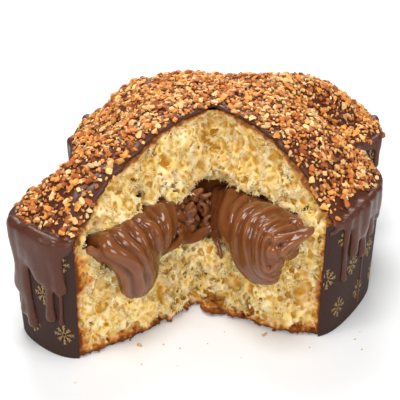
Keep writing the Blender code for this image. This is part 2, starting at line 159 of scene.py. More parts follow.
def softened(radii, width):
    """Radii averaged over a width in degrees."""
    window = np.hanning(width + 2)[1:-1]
    return np.convolve(np.tile(radii, 3), window / window.sum(), "same")[360:720]


# The dough swells over the bays of the outline, so its radii are filled in there
DOUGH_RADII = softened(np.maximum(RIM_RADII, softened(RIM_RADII, 71)), 9)
DOUGH_RADII *= 1.0 + WING_FULLNESS * np.sin(BEARINGS) ** 2


def share_of(radii, x, y):
    """Share of the way from the centre (0) to the given radii (1) in plan."""
    return np.hypot(x, y) / np.interp(np.arctan2(y, x), BEARINGS, radii, period=2 * math.pi)


def rim_share(x, y):
    return share_of(RIM_RADII, x, y)


def smooth_min(first, second, blend):
    mix = np.clip(0.5 + 0.5 * (second - first) / blend, 0.0, 1.0)
    return second + (first - second) * mix - blend * mix * (1.0 - mix)


def smooth_max(first, second, blend):
    return -smooth_min(-first, -second, blend)


def loaf_top(x, y, wall):
    """Height of the glazed loaf: a dome with a full, rounded shoulder along the rim."""
    share = np.minimum(share_of(DOUGH_RADII, x, y), 1.0)
    dome = RIM + GLAZE_RISE + (APEX - RIM - GLAZE_RISE) * (1.0 - share ** DOME_POWER) ** DOME_ROUND
    inside = np.maximum(-wall, 0.0)
    bow = (1.0 - (1.0 - np.minimum(inside / SHOULDER_WIDTH, 1.0)) ** 2) ** SHOULDER_POWER
    shoulder = RIM - 1.0 + SHOULDER_RISE * bow + np.maximum(inside - 0.5 * SHOULDER_WIDTH, 0.0)
    return smooth_min(dome, shoulder, 6.0)


def ramp(value, low, high):
    t = np.clip((value - low) / (high - low), 0.0, 1.0)
    return t * t * (3.0 - 2.0 * t)


def value_noise(points, size, seed):
    """Smooth noise from -1 to 1 at points of shape (n, 3), with cells of the given size."""
    table = np.random.default_rng(seed).random((32, 32, 32), dtype=np.float32) * 2.0 - 1.0
    scaled = points / size + seed * 3.7
    base = np.floor(scaled).astype(np.int32)
    part = (scaled - base).astype(np.float32)
    part = part * part * part * (part * (part * 6.0 - 15.0) + 10.0)
    result = np.zeros(len(points), np.float32)
    for corner in range(8):
        offset = np.array([corner & 1, corner >> 1 & 1, corner >> 2 & 1])
        cell = (base + offset) & 31
        weight = np.prod(np.where(offset, part, 1.0 - part), axis=1)
        result += weight * table[cell[:, 0], cell[:, 1], cell[:, 2]]
    return result


def two_noises(points, size, seed):
    """Noise with weaker noise of half the size on it."""
    return value_noise(points, size, seed) + 0.5 * value_noise(points, size / 2.03, seed + 1)


def noise_vectors(points, size, seed):
    return np.stack([value_noise(points, size, seed + axis) for axis in range(3)], axis=1)


def plan_points(x, y):
    return np.stack([x.ravel(), y.ravel(), np.zeros(x.size)], axis=1).astype(np.float32)


def plan_noise(x, y, size, seed):
    return value_noise(plan_points(x, y), size, seed).reshape(x.shape)


def unit(vectors):
    return vectors / np.linalg.norm(vectors, axis=-1, keepdims=True)


def bubble_field(points, spacing, smallest, largest, share, seed):
    """Depth inside the nearest round hole, positive within it, from a jittered lattice."""
    draw = np.random.default_rng(seed)
    jitter = draw.random((32, 32, 32, 3), dtype=np.float32) * 0.8 + 0.1
    radius = draw.random((32, 32, 32), dtype=np.float32)
    radius = smallest + (largest - smallest) * radius ** 1.5
    missing = draw.random((32, 32, 32)) > share
    radius[missing] = -spacing
    scaled = points / spacing
    base = np.floor(scaled).astype(np.int32)
    deepest = np.full(len(points), -1e3, np.float32)
    for corner in range(27):
        offset = np.array([corner % 3 - 1, corner // 3 % 3 - 1, corner // 9 - 1])
        cell = base + offset
        held = cell & 31
        centre = cell + jitter[held[:, 0], held[:, 1], held[:, 2]]
        gap = np.linalg.norm((scaled - centre) * spacing, axis=1)
        np.maximum(deepest, radius[held[:, 0], held[:, 1], held[:, 2]] - gap, out=deepest)
    return deepest


def surface_net(field, axes):
    """Vertices and quads of the surface where a field on a rectilinear grid is zero."""
    inside = field < 0.0
    sizes = [length - 1 for length in field.shape]
    count = np.zeros(sizes, np.uint8)
    corners = list(itertools.product((0, 1), repeat=3))
    for i, j, k in corners:
        count += inside[i:i + sizes[0], j:j + sizes[1], k:k + sizes[2]]
    cell = np.array(np.nonzero((count > 0) & (count < 8)))
    number = np.full(sizes, -1, np.int32)
    number[tuple(cell)] = np.arange(cell.shape[1])
    total = np.zeros((cell.shape[1], 3))
    hits = np.zeros(cell.shape[1])
    for start, axis in itertools.product(corners, range(3)):
        if start[axis]:
            continue
        low = cell + np.array(start)[:, None]
        high = low.copy()
        high[axis] += 1
        low_value, high_value = field[tuple(low)], field[tuple(high)]
        crossed = (low_value < 0) != (high_value < 0)
        share = np.where(crossed, low_value / np.where(crossed, low_value - high_value, 1.0), 0.0)
        for which, lines in enumerate(axes):
            first, last = lines[low[which]], lines[high[which]]
            total[:, which] += np.where(crossed, first + share * (last - first), 0.0)
        hits += crossed
    vertices = total / hits[:, None]
    quads = []
    for axis in range(3):
        low, high = [inside.take(range(first, first + sizes[axis]), axis) for first in (0, 1)]
        changed = np.argwhere(low != high)
        second, third = (axis + 1) % 3, (axis + 2) % 3
        keep = (changed[:, second] > 0) & (changed[:, third] > 0)
        keep &= (changed[:, second] < sizes[second]) & (changed[:, third] < sizes[third])
        changed = changed[keep]
        ring = []
        for back_second, back_third in ((1, 1), (0, 1), (0, 0), (1, 0)):
            place = changed.copy()
            place[:, second] -= back_second
            place[:, third] -= back_third
            ring.append(number[tuple(place.T)])
        ring = np.array(ring).T
        outwards = low[tuple(changed.T)]
        quads.append(np.where(outwards[:, None], ring, ring[:, ::-1]))
    return vertices, np.vstack(quads)


def largest_body(vertices, quads):
    """The quads and vertices of the largest connected body."""
    label = np.arange(len(vertices))
    first = quads.ravel()
    second = np.roll(quads, -1, axis=1).ravel()
    while True:
        before = label.copy()
        lowest = np.minimum(label[first], label[second])
        np.minimum.at(label, first, lowest)
        np.minimum.at(label, second, lowest)
        np.minimum.at(label, before[first], label[first])
        label = label[label]
        if np.array_equal(label, before):
            break
    kept = label == np.bincount(label).argmax()
    renumber = np.cumsum(kept) - 1
    return vertices[kept], renumber[quads[kept[quads[:, 0]]]]


def plan_grid(axes):
    return np.meshgrid(axes[0], axes[1], indexing="ij")


def grid_places(axes, spots):
    """Places in millimetres of grid indices of shape (n, 3)."""
    return np.stack([axes[axis][spots[:, axis]] for axis in range(3)], axis=1).astype(np.float32)


def relax(vertices, quads, rounds, strength=0.5):
    """Even out a mesh by moving each vertex towards the mean of its neighbours."""
    first = np.concatenate([quads.ravel(), np.roll(quads, -1, axis=1).ravel()])
    second = np.concatenate([np.roll(quads, -1, axis=1).ravel(), quads.ravel()])
    degree = np.bincount(first, minlength=len(vertices))[:, None]
    for _ in range(rounds):
        total = np.stack([np.bincount(first, vertices[second, axis], len(vertices))
                          for axis in range(3)], axis=1)
        vertices = vertices + strength * (total / degree - vertices)
    return vertices


def body_mesh(field, axes, rounds=0):
    """Mesh of the largest body where a field is negative, evened out by some rounds."""
    vertices, quads = largest_body(*surface_net(field, axes))
    return relax(vertices, quads, rounds), quads


def vertex_normals(vertices, quads):
    first, second, third, fourth = [vertices[quads[:, corner]] for corner in range(4)]
    normal = np.cross(third - first, fourth - second)
    total = np.stack([np.bincount(quads.ravel(), np.repeat(normal[:, axis], 4), len(vertices))
                      for axis in range(3)], axis=1)
    return total / np.maximum(np.linalg.norm(total, axis=1), 1e-9)[:, None]


def hollows(vertices, quads, normals, rounds):
    """How far each vertex lies below the evened surface: positive in creases, negative on tips."""
    return np.einsum("ij,ij->i", relax(vertices, quads, rounds) - vertices, normals)


def make_piece(name, vertices, faces, finish, attributes=None, sharp_degrees=None):
    """A mesh object from arrays in millimetres, with point colours as named attributes."""
    corners = faces.shape[1]
    mesh = bpy.data.meshes.new(name)
    mesh.vertices.add(len(vertices))
    mesh.vertices.foreach_set("co", (np.asarray(vertices) * MM).astype(np.float32).ravel())
    mesh.loops.add(faces.size)
    mesh.loops.foreach_set("vertex_index", faces.astype(np.int32).ravel())
    mesh.polygons.add(len(faces))
    mesh.polygons.foreach_set("loop_start", np.arange(0, faces.size, corners, dtype=np.int32))
    mesh.update(calc_edges=True)
    mesh.validate()
    for title, values in (attributes or {}).items():
        layer = mesh.color_attributes.new(title, "FLOAT_COLOR", "POINT")
        data = np.ones((len(vertices), 4), np.float32)
        data[:, :3] = np.asarray(values, np.float32).reshape(len(vertices), -1)
        layer.data.foreach_set("color", data.ravel())
    mesh.shade_smooth()
    if sharp_degrees:
        mesh.set_sharp_from_angle(angle=math.radians(sharp_degrees))
    mesh.materials.append(finish)
    piece = bpy.data.objects.new(name, mesh)
    bpy.context.scene.collection.objects.link(piece)
    return piece


def dense_axis(low, high, fine, dense_low, dense_high):
    """Grid lines that are fine between two values and coarse elsewhere."""
    middle = np.arange(dense_low, dense_high, fine)
    before = np.arange(dense_low - COARSE_STEP, low - COARSE_STEP, -COARSE_STEP)[::-1]
    after = np.arange(middle[-1] + COARSE_STEP, high + COARSE_STEP, COARSE_STEP)
    return np.concatenate([before, middle, after])


def sample_plan(grid, axes, points):
    """Bilinear values of a plan grid at points."""
    places = []
    for axis in (0, 1):
        lines = axes[axis]
        index = np.clip(np.searchsorted(lines, points[:, axis]) - 1, 0, len(lines) - 2)
        share = (points[:, axis] - lines[index]) / (lines[index + 1] - lines[index])
        places.append((index, np.clip(share, 0.0, 1.0)))
    (i, s), (j, t) = places
    return ((1 - s) * (1 - t) * grid[i, j] + s * (1 - t) * grid[i + 1, j]
            + (1 - s) * t * grid[i, j + 1] + s * t * grid[i + 1, j + 1])


# Materials


class Nodes:
    """Short helpers for building a shader tree."""

    def __init__(self, name):
        self.material = bpy.data.materials.new(name)
        self.material.use_nodes = True
        self.tree = self.material.node_tree
        self.shader = self.tree.nodes["Principled BSDF"]

    def add(self, kind, settings=None, **inputs):
        node = self.tree.nodes.new(kind)
        for key, value in (settings or {}).items():
            setattr(node, key, value)
        for key, value in inputs.items():
            self.feed(node.inputs[key.replace("_", " ")], value)
        return node

    def feed(self, socket, value):
        if isinstance(value, bpy.types.NodeSocket):
            self.tree.links.new(value, socket)
        elif isinstance(value, tuple) and len(value) == 3 and len(socket.default_value) == 4:
            socket.default_value = (*value, 1.0)
        else:
            socket.default_value = value

    def set(self, **inputs):
        for key, value in inputs.items():
            self.feed(self.shader.inputs[key.replace("_", " ")], value)

    def noise(self, size, detail=3.0, rough=0.55):
        place = self.add("ShaderNodeNewGeometry").outputs["Position"]
        node = self.add("ShaderNodeTexNoise", Vector=place, Scale=1.0 / (size * MM),
                        Detail=detail, Roughness=rough)
        return node.outputs["Fac"]

    def spread(self, value, low, high, out_low=0.0, out_high=1.0):
        node = self.add("ShaderNodeMapRange", {"interpolation_type": "SMOOTHSTEP"}, Value=value)
        for socket, number in zip(list(node.inputs)[1:5], (low, high, out_low, out_high)):
            socket.default_value = number
        return node.outputs["Result"]

    def math(self, operation, first, second=0.5):
        node = self.add("ShaderNodeMath", {"operation": operation})
        self.feed(node.inputs[0], first)
        self.feed(node.inputs[1], second)
        return node.outputs[0]

    def mix(self, share, first, second, blend="MIX"):
        node = self.add("ShaderNodeMix", {"data_type": "RGBA", "blend_type": blend})
        for socket, value in ((node.inputs[0], share), (node.inputs[6], first),
                              (node.inputs[7], second)):
            self.feed(socket, value)
        return node.outputs[2]

    def attribute(self, name):
        node = self.add("ShaderNodeAttribute", {"attribute_name": name})
        split = self.add("ShaderNodeSeparateColor", Color=node.outputs["Color"])
        return split.outputs

    def bump(self, height, distance, strength):
        node = self.add("ShaderNodeBump", Height=height, Distance=distance * MM, Strength=strength)
        return node.outputs["Normal"]


def crumb_material(name, translucent):
    """Crumb with toasted crust; painted shade makes hollows darker yellow and torn tips paler.
    Attribute channels: toast, painted hollow shade, burn.
    """
    nodes = Nodes(name)
    toast, pore_shade, burn = nodes.attribute("mark")[:3]
    patch = nodes.spread(nodes.noise(7.0, 2.0), 0.35, 0.65)
    fleck = nodes.spread(nodes.noise(2.2, 2.0), 0.60, 0.72)
    # Painted shade: pale on raised tips, darker saturated yellow down in the hollows
    pale = nodes.mix(patch, (0.95, 0.785, 0.47), (0.90, 0.655, 0.225))
    deep = nodes.mix(patch, (0.69, 0.39, 0.052), (0.58, 0.28, 0.020))
    colour = nodes.mix(pore_shade, pale, deep)
    colour = nodes.mix(nodes.math("MULTIPLY", fleck, 0.25), colour, (0.80, 0.42, 0.10))
    browning = nodes.spread(nodes.noise(2.0, 4.0), 0.38, 0.62)
    golden = nodes.mix(browning, (0.72, 0.28, 0.045), (0.34, 0.085, 0.014))
    colour = nodes.mix(toast, colour, golden)
    dark = nodes.mix(nodes.noise(2.0), (0.20, 0.060, 0.016), (0.09, 0.026, 0.010))
    colour = nodes.mix(burn, colour, dark)
    nodes.set(Base_Color=colour, Roughness=0.8, Specular_IOR_Level=0.05)
    if translucent:
        nodes.set(Subsurface_Weight=0.45, Subsurface_Radius=(1.0, 0.60, 0.25),
                  Subsurface_Scale=0.0025)
    return nodes.material


def cream_material():
    nodes = Nodes("hazelnut_cream")
    # Painted shade in the creases and painted light on the crests, read from how far each point lies
    # below the evened surface
    depth = nodes.attribute("crease_shade")[0]
    colour = nodes.mix(nodes.spread(depth, 0.35, 0.95), (0.160, 0.046, 0.012), (0.040, 0.011, 0.004))
    colour = nodes.mix(nodes.spread(depth, 0.35, 0.05), colour, (0.24, 0.080, 0.025))
    ripple = nodes.noise(2.6, 2.0, 0.4)
    nodes.set(Base_Color=colour, Roughness=nodes.spread(nodes.noise(3.0), 0.3, 0.7, 0.10, 0.19),
              Normal=nodes.bump(ripple, 0.25, 0.5), Specular_IOR_Level=0.4)
    return nodes.material


def glaze_material():
    nodes = Nodes("dark_glaze")
    cloud = nodes.noise(14.0, 3.0)
    colour = nodes.mix(cloud, (0.072, 0.020, 0.010), (0.102, 0.031, 0.015))
    bloom = nodes.spread(nodes.noise(5.0, 4.0, 0.6), 0.55, 0.75)
    colour = nodes.mix(nodes.math("MULTIPLY", bloom, 0.25), colour, (0.14, 0.055, 0.032))
    nodes.set(Base_Color=colour, Roughness=nodes.spread(nodes.noise(4.0), 0.3, 0.7, 0.26, 0.42),
              Normal=nodes.bump(nodes.noise(3.5, 3.0), 0.35, 0.5), Specular_IOR_Level=0.3)
    return nodes.material


def nut_material(name, flesh, toasted, skin):
    """Chopped nut; attribute tone holds browning, a random value for each piece, and skin."""
    nodes = Nodes(name)
    brown, chance, peel = nodes.attribute("tone")[:3]
    colour = nodes.mix(brown, flesh, toasted)
    colour = nodes.mix(peel, colour, skin)
    shade = nodes.spread(chance, 0.0, 1.0, 0.72, 1.18)
    colour = nodes.mix(1.0, colour, shade, "MULTIPLY")
    spot = nodes.spread(nodes.noise(0.8, 3.0), 0.45, 0.7)
    colour = nodes.mix(nodes.math("MULTIPLY", spot, 0.4), colour, toasted)
    nodes.set(Base_Color=colour, Roughness=0.45, Normal=nodes.bump(nodes.noise(0.5, 3.0), 0.3, 0.6),
              Specular_IOR_Level=0.3, Subsurface_Weight=0.12, Subsurface_Radius=(1.0, 0.5, 0.2),
              Subsurface_Scale=0.0012)
    return nodes.material


def paper_material():
    nodes = Nodes("dark_brown_paper")
    fibre = nodes.noise(1.3, 4.0, 0.65)
    colour = nodes.mix(fibre, (0.038, 0.017, 0.013), (0.058, 0.029, 0.023))
    cloud = nodes.noise(18.0, 2.0)
    colour = nodes.mix(nodes.math("MULTIPLY", cloud, 0.4), colour, (0.032, 0.014, 0.011))
    nodes.set(Base_Color=colour, Roughness=0.55, Normal=nodes.bump(fibre, 0.15, 0.5),
              Specular_IOR_Level=0.15)
    return nodes.material


def gold_material():
    nodes = Nodes("printed_gold")
    rub = nodes.noise(1.1, 3.0)
    colour = nodes.mix(rub, (0.50, 0.33, 0.12), (0.30, 0.19, 0.07))
    nodes.set(Base_Color=colour, Metallic=0.55, Roughness=0.42)
    return nodes.material


# Bread


def cut_fields(x, y):
    """Distance in plan to the two broken lines, negative on the removed side."""
    lower, _ = polygon_distance(x, y, LOWER_CUT)
    upper, _ = polygon_distance(x, y, UPPER_CUT)
    return lower, upper


def cream_floor(share, upper):
    """Heights of the underside and the top of the cream layer in plan."""
    swell = np.sqrt(np.maximum(1.0 - np.minimum(share / CREAM_REACH, 1.0) ** 5, 0.0))
    fade = np.exp(-(np.maximum(upper, 0.0) / CREAM_FADE) ** 2)
    depth = CREAM_DEPTH * (CREAM_INNER_SHARE + (1.0 - CREAM_INNER_SHARE) * fade)
    low = CREAM_EDGE - (depth - (CREAM_TOP - CREAM_EDGE)) * swell
    high = CREAM_EDGE + (CREAM_TOP - CREAM_EDGE) * swell
    low = np.where(swell > 0, low, 200.0)
    return low, high


# The loose tab of crust near the corner of the break: segments of the line before it, length
SEGMENTS_TO_CORNER = 26
FLAP_LENGTH = 9.0


def crust_flap(along):
    """How far the bottom crust sticks out below the broken face, by length along its line."""
    corner = segment_lengths(LOWER_CUT)[:SEGMENTS_TO_CORNER].sum()
    level = 0.0 * along
    ragged = plan_noise(along, level, 6.0, 46) + 0.6 * plan_noise(along, level, 2.5, 47)
    tab = FLAP_LENGTH * np.exp(-((along - corner - 12.0) / 11.0) ** 2)
    return np.maximum(0.8 + 1.8 * ragged, 0.0) + tab


# The ledge that carries the cream: height at the wall and how much lower it is further in
LEDGE_TOP = 67.2
LEDGE_DROP = 24.0
# Pores of the crumb: spacing, smallest and largest radius, share, how deep they start, seed
PORES = (
    (13.0, 3.4, 6.6, 0.6, 4.4, 51), (5.6, 2.1, 3.3, 0.85, 2.2, 52), (2.7, 1.15, 1.7, 0.9, 0.8, 53),
)


def tear_field(points, face, edge):
    """The torn face: the crumb is where the result is negative."""
    bent = points + 2.2 * noise_vectors(points, 9.0, 11) + 1.35 * noise_vectors(points, 3.2, 14)
    bent = bent * np.array([1.0, 1.0, 0.8], np.float32)
    lumps = 4.2 * two_noises(points, 21.0, 21) + 3.0 * two_noises(bent, 9.0, 31)
    fine = 0.55 * value_noise(bent, 2.2, 41) + 0.35 * value_noise(points, 1.3, 42)
    fine *= 1.0 + 1.4 * (1.0 - ramp(points[:, 2], 3.0, 8.0))
    firm = ramp(-edge, 0.0, 6.0)
    face = face - smooth_max(lumps * (0.25 + 0.75 * firm), -4.0, 2.0)
    tight = 0.65 * (1.0 - ramp(value_noise(points, 15.0, 45), -0.5, 0.3))
    holes = np.full(len(points), -9.0, np.float32)
    for spacing, smallest, largest, share, reach, seed in PORES:
        cells = bubble_field(bent, spacing, smallest, largest, share, seed)
        if spacing < 10.0:
            cells -= 0.25 * spacing * tight
        holes = np.maximum(holes, cells - np.maximum(face - reach, 0.0) * 1.2)
    holes -= 3.0 * (1.0 - ramp(-edge, 0.6, 3.0))
    return smooth_max(-face, holes * 0.9, 0.5) + fine


# Torn wisps of crumb standing on the tips
WISP_COUNT = 8000
WISP_LENGTH = 1.3
WISP_RADII = (0.27, 0.5)
OUT_OF_BREAK = np.array([-0.62, -0.65, 0.3])


def build_wisps(vertices, normals, tips, mark, finish):
    """Short tapering shreds on the tips of the torn faces."""
    draw = np.random.default_rng(3)
    torn = np.all(vertices[:, :2] < -3.0, axis=1) & (normals @ OUT_OF_BREAK > -0.4)
    torn &= (mark[:, 0] < 0.3) & (tips > 0.1)
    torn &= value_noise(vertices, 5.5, 204) + 0.5 * value_noise(vertices, 2.5, 205) > -0.05
    count = min(WISP_COUNT, np.count_nonzero(torn))
    chosen = draw.choice(np.flatnonzero(torn), count, replace=False)
    base = vertices[chosen]
    drift = noise_vectors(base, 5.0, 201)
    way = unit(0.8 * normals[chosen] + 0.5 * draw.normal(size=(count, 3)) + drift)
    length = np.clip(WISP_LENGTH * draw.lognormal(0.0, 0.4, count), 0.5, 3.2)[:, None]
    bend = 0.4 * draw.normal(size=(count, 3))
    first = unit(np.cross(way, draw.normal(size=(count, 3))))
    second = np.cross(way, first)
    radius = draw.uniform(*WISP_RADII, count)[:, None]
    rings = []
    for share, width in ((-0.25, 1.0), (0.45, 0.8)):
        centre = base + (way * share + bend * max(share, 0.0) ** 2) * length
        for angle in np.radians((0, 120, 240)):
            side = first * math.cos(angle) + second * math.sin(angle)
            rings.append(centre + side * radius * width)
    rings.append(base + (way + bend) * length)
    faces = [(2, 1, 0)]
    for corner in range(3):
        after = (corner + 1) % 3
        faces += [(corner, after, 3 + after), (corner, 3 + after, 3 + corner)]
        faces.append((3 + corner, 3 + after, 6))
    faces = np.array(faces)[None] + 7 * np.arange(count)[:, None, None]
    # Wisps take half the painted hollow shade of the crumb they stand on
    tint = np.repeat(mark[chosen] * np.array([1.0, 0.5, 1.0]), 7, axis=0)
    return make_piece("crumb_wisps", np.stack(rings, axis=1).reshape(-1, 3), faces.reshape(-1, 3),
                      finish, {"mark": tint})


# Browning inwards from the wall, the floor and the top: strength, spots, patches, depths in mm
# from which it fades and where it ends
TOASTED = ((1.0, 1.0, 0.0, 1.0, 4.0), (1.0, 1.5, 1.4, 1.8, 5.6), (0.9, 0.8, 0.0, 0.3, 2.6))
BURNT = ((1.0, 0.6, 0.0, 0.3, 1.7), (1.0, 1.1, 1.1, 0.8, 3.2), (0.8, 0.6, 0.0, 0.1, 1.0))


def build_bread():
    inset = PAPER_THICKNESS + 0.3
    axes = [dense_axis(-136, 136, CRUMB_STEP, -135, 4),
            dense_axis(-108, 108, CRUMB_STEP, -107, 4),
            np.arange(-0.6, 110.5, CRUMB_STEP)]
    x, y = plan_grid(axes)
    wall, _ = polygon_distance(x, y, OUTLINE)
    share = rim_share(x, y)
    top = loaf_top(x, y, wall) - GLAZE_THICKNESS - 0.3
    lower, along = polygon_distance(x, y, LOWER_CUT)
    upper, _ = polygon_distance(x, y, UPPER_CUT)
    pocket_low, pocket_high = cream_floor(share, upper)
    z = axes[2][None, None, :]
    flare = FLARE * (1.0 - np.minimum(axes[2], RIM) / RIM)
    hull = np.maximum(wall[:, :, None] + flare + inset, (z - top[:, :, None]) * 0.85)
    hull = np.maximum(hull, inset - z).astype(np.float32)
    crust = 1.0 - ramp(z, 2.2, 4.2)
    flap = crust_flap(along)[:, :, None] * crust
    removed = np.maximum(lower[:, :, None] + flap, z - RIM + 1.0)
    ledge = LEDGE_TOP - LEDGE_DROP * (1.0 - ramp(share, 0.60, 0.97))
    height_share = (z - CREAM_EDGE) / np.maximum(top - CREAM_EDGE, 6.0)[:, :, None]
    lean = OVERHANG * (1.0 - ramp(height_share, 0.1, 0.95))
    removed = np.minimum(removed, np.maximum(upper[:, :, None] + lean, ledge[:, :, None] - z))
    pocket = np.maximum(pocket_low[:, :, None] - z, z - pocket_high[:, :, None]) * 0.8
    pocket = np.maximum(pocket, (CREAM_END - y)[:, :, None])
    removed = np.minimum(removed, pocket).astype(np.float32)

    near = (np.abs(removed) < 9.5) & (hull < 2.5) & (upper[:, :, None] < 16.0)
    points = grid_places(axes, np.argwhere(near))
    edge = hull[near]
    torn = tear_field(points, removed[near], edge)
    ragged = 1.3 * value_noise(points, 2.6, 63) + 0.8 * value_noise(points, 1.3, 64)
    ragged *= 1.0 - ramp(points[:, 2], 2.0, 6.0)
    field = np.maximum(hull, -removed)
    field[near] = np.maximum(edge - np.minimum(ragged, 0.3), torn)
    vertices, quads = body_mesh(field, axes)
    vertices[:, 2] = np.maximum(vertices[:, 2], 0.1)

    wall_depth = -(sample_plan(wall, axes, vertices) + inset
                   + FLARE * (1.0 - np.minimum(vertices[:, 2], RIM) / RIM))
    top_depth = (sample_plan(top, axes, vertices) - vertices[:, 2]) * 0.85
    floor_depth = vertices[:, 2] - inset
    spotty = value_noise(vertices, 2.6, 61) + 0.5 * value_noise(vertices, 1.3, 65)
    broad = value_noise(vertices, 11.0, 62)

    def browned(layers):
        depths = (wall_depth, floor_depth, top_depth)
        return np.max([strength * (1.0 - ramp(depth + spots * spotty + patches * broad, low, high))
                       for depth, (strength, spots, patches, low, high) in zip(depths, layers)],
                      axis=0)

    normals = vertex_normals(vertices, quads)
    # Painted shade: how far a vertex lies in small and wide hollows sets how dark a yellow its crumb
    # gets
    wide = hollows(vertices, quads, normals, 40)
    pore_shade = np.clip(0.28 + 0.9 * hollows(vertices, quads, normals, 6) + 0.9 * wide, 0.0, 1.0)
    mark = np.stack([browned(TOASTED), pore_shade, browned(BURNT)], axis=1)
    return [make_piece("torn_bread", vertices, quads, crumb_material("torn_crumb", True),
                       {"mark": mark}),
            build_wisps(vertices, normals, -wide, mark, crumb_material("crumb_tips", False))]


# Cream

# Crests of the folds of cream, from the left: points in millimetres, radius of the fold
LEFT_FOLDS = [
    ([(-108, -33, 61), (-106, -37, 59), (-103, -39, 53), (-99, -38, 45), (-96, -36, 37),
      (-92, -35, 32)], 3.4),
    ([(-107, -31, 68), (-107, -38, 65), (-102, -42, 61), (-97, -43, 54), (-93, -41, 44),
      (-90, -38, 35)], 5.4),
    ([(-99, -32, 69), (-97, -39, 66), (-93, -42, 59), (-87, -41, 49), (-84, -39, 41),
      (-83, -36, 36)], 4.6),
    ([(-88, -29, 69), (-89, -38, 67), (-89, -41, 61), (-87, -41, 55), (-82, -38, 47)], 4.2),
    ([(-80, -27, 69), (-79, -35, 67), (-78, -38, 62), (-77, -37, 56), (-78, -34, 51)], 5.6),
    ([(-64, -22, 69), (-66, -31, 67), (-69, -35, 62), (-69, -34, 55), (-70, -31, 49),
      (-74, -30, 48)], 5.6),
    ([(-53, -20, 67), (-56, -27, 63), (-59, -30, 59), (-61, -30, 53)], 4.4),
]
RIGHT_FOLDS = [
    ([(-12, -19, 60), (-20, -26, 55), (-27, -34, 51), (-32, -45, 51), (-36, -56, 52)], 5.0),
    ([(-16, -37, 66), (-26, -42, 64), (-33, -47, 61), (-37, -53, 58), (-40, -62, 55)], 6.5),
    ([(-26, -64, 71), (-36, -64, 70), (-41, -65, 64), (-43, -66, 57), (-43, -68, 50),
      (-42, -72, 44), (-40, -76, 40)], 4.6),
    ([(-20, -73, 72), (-31, -73, 73), (-40, -73, 70), (-44, -74, 64), (-46, -76, 57),
      (-45, -78, 49), (-42, -82, 43)], 3.4),
    ([(-30, -82, 71), (-40, -83, 72), (-45, -83, 67), (-47, -84, 60), (-46, -85, 53),
      (-43, -88, 46), (-41, -89, 45)], 2.6),
    ([(-30, -90, 70), (-40, -90, 72), (-45, -88, 69), (-47, -88, 61), (-46, -90, 55),
      (-45, -92, 53), (-43, -94, 57)], 2.6),
    ([(-45, -93, 65), (-45, -93, 60)], 5.0),
    ([(-42, -96, 64), (-39, -98, 68), (-35, -100, 70), (-29, -101, 71), (-24, -100, 71)], 2.8),
]
# Small curls, lumps and threads between the two masses
CURLS = [
    ([(-115, -29, 66), (-111, -31, 63), (-107, -34, 60)], 2.6),
    ([(-66, -31, 47), (-61, -32, 48), (-54, -30, 48), (-48, -27, 49)], 2.4),
    ([(-48, -22, 60), (-44, -23, 56), (-41, -23, 51)], 3.6),
    ([(-26, -16, 59), (-21, -17, 59), (-21, -20, 55), (-26, -21, 53), (-28, -19, 57)], 1.7),
    ([(-47, -18, 65), (-39, -18, 63), (-30, -15, 62)], 2.0),
    ([(-34, -17, 60), (-34, -20, 54), (-34, -22, 49)], 3.0),
    ([(-49, -25, 53), (-44, -26, 48), (-52, -28, 46)], 3.0),
    ([(-43, -92, 70), (-39, -95, 71), (-33, -98, 71), (-27, -99, 71)], 2.8),
    ([(-14, -43, 66), (-17, -58, 67), (-22, -76, 70), (-24, -89, 70)], 5.0),
    ([(-30, -33, 44), (-33, -40, 42), (-34, -44, 36)], 1.3),
    ([(-28, -32, 46), (-33, -44, 48), (-36, -53, 49)], 2.6),
    ([(-81, -37, 48), (-80, -38, 43)], 1.6),
    ([(-47, -26, 46), (-41, -28, 45), (-35, -29, 46), (-29, -30, 48)], 3.4),
]
# Direction from the crests into the loaf
INWARDS = np.array([0.618, 0.651, -0.441])
LEFT_DEEPER = np.array([0.0, 15.0, -7.0])
RIGHT_DEEPER = np.array([15.0, 5.0, -7.0])


def add_rope(field, points, line, radius, blend, end_share=0.8):
    """Join a tapering rope through a smooth curve to a field."""
    path = curve_points(line, 4, False).astype(np.float32)
    reach = radius + blend + 1.5
    close = np.all((points > path.min(axis=0) - reach) & (points < path.max(axis=0) + reach), axis=1)
    nearby = points[close]
    nearest = np.full(len(nearby), 1e3, np.float32)
    last = len(path) - 1
    for index in range(last):
        start, step = path[index], path[index + 1] - path[index]
        along = np.clip((nearby - start) @ step / (step @ step), 0.0, 1.0)
        gap = nearby - start - along[:, None] * step
        thick = radius * (1.0 - (1.0 - end_share) * (index + along) / last)
        np.minimum(nearest, np.sqrt(np.einsum("ij,ij->i", gap, gap)) - thick, out=nearest)
    field[close] = smooth_min(field[close], nearest, blend)


def spaced(line, count):
    """Points at even steps along the smooth curve through a line."""
    path = curve_points(line, 6, False)
    lengths = np.concatenate([[0.0], np.cumsum(np.linalg.norm(np.diff(path, axis=0), axis=1))])
    targets = np.linspace(0.0, lengths[-1], count)
    return np.stack([np.interp(targets, lengths, path[:, axis]) for axis in range(3)], axis=1)


# Radius of the body behind the folds, of the thin streaks between them, and number of small curls
BODY_RADIUS = 5.5
STREAK_RADIUS = 2.3
CLUTTER_COUNT = 30


